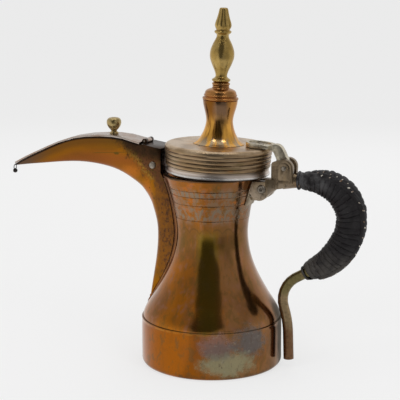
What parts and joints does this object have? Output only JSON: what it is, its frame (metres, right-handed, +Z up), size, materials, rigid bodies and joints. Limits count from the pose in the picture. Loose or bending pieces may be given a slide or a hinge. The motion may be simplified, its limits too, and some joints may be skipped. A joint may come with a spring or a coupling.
{
  "type": "dallah coffee pot",
  "caption": "Waisted copper coffee pot with a long curved beak under a hinged flap, a ribbed hinged lid with a tall brass finial and a leather-bound cast brass handle.",
  "frame": {"origin": "centre of the flat underside of the base, on the body's axis", "axes": "+Z up along the body's axis, +X towards the handle and -X towards the beak, +Y across the pot"},
  "size_m": [0.3201, 0.119, 0.2983],
  "materials": {
    "copper_patina": "aged polished copper, orange to brown, with grey-green patina and worn tin bands",
    "copper_polished": "polished golden copper, darker towards the edges",
    "copper_dark": "brown tarnished copper with a soft sheen",
    "tinned_copper": "worn tin over copper, silvery and slightly warm",
    "brass_cast": "cast brass, olive brown in the hollows and bright on the edges",
    "brass_finial": "turned brass, golden and slightly greenish",
    "rivet_metal": "grey brown hammered rivet heads",
    "dark_wire": "blackened wire and bead",
    "grip_leather": "black leather thong wound round the handle, grey sheen on top"
  },
  "bodies": {
    "pot": {"base_pan": "copper_patina", "upper_body": "copper_patina", "mouth_ring": "tinned_copper", "spout_shell": "copper_polished", "spout_saddle": "copper_dark", "heel_cap": "copper_dark", "heel_rivets": "rivet_metal", "flap_pin": "brass_cast", "neck_lug": "brass_cast", "lug_rivets": "rivet_metal", "handle_casting": "brass_cast", "cross_rivet": "rivet_metal", "lid_hinge_pin": "brass_cast", "grip_wrap": "grip_leather", "end_bindings": "grip_leather", "spine_braid": "grip_leather"},
    "lid": {"lid_lip": "tinned_copper", "lid_collar": "tinned_copper", "lid_cap": "copper_dark", "lid_column": "copper_polished", "column_dome": "copper_polished", "column_ring": "copper_polished", "finial": "brass_finial", "finial_washer": "tinned_copper", "lid_arm": "brass_cast", "arm_rivets": "rivet_metal"},
    "beak_flap": {"spout_flap": "tinned_copper", "flap_knob": "brass_cast"},
    "nose_drop": {"nose_ring": "dark_wire", "pendant_bead": "dark_wire"}
  },
  "joints": [
    {"name": "lid_hinge", "type": "hinge", "parent": "pot", "child": "lid", "pos_m": [0.0645, 0, 0.1703], "axis": [0, 1, 0], "range_deg": [0, 95]},
    {"name": "flap_hinge", "type": "hinge", "parent": "pot", "child": "beak_flap", "pos_m": [-0.0576, 0, 0.18658], "axis": [0, 1, 0], "range_deg": [0, 75]},
    {"name": "nose_swing", "type": "hinge", "parent": "pot", "child": "nose_drop", "pos_m": [-0.1849, 0, 0.1588], "axis": [0, 1, 0], "range_deg": [-30, 60]}
  ]
}
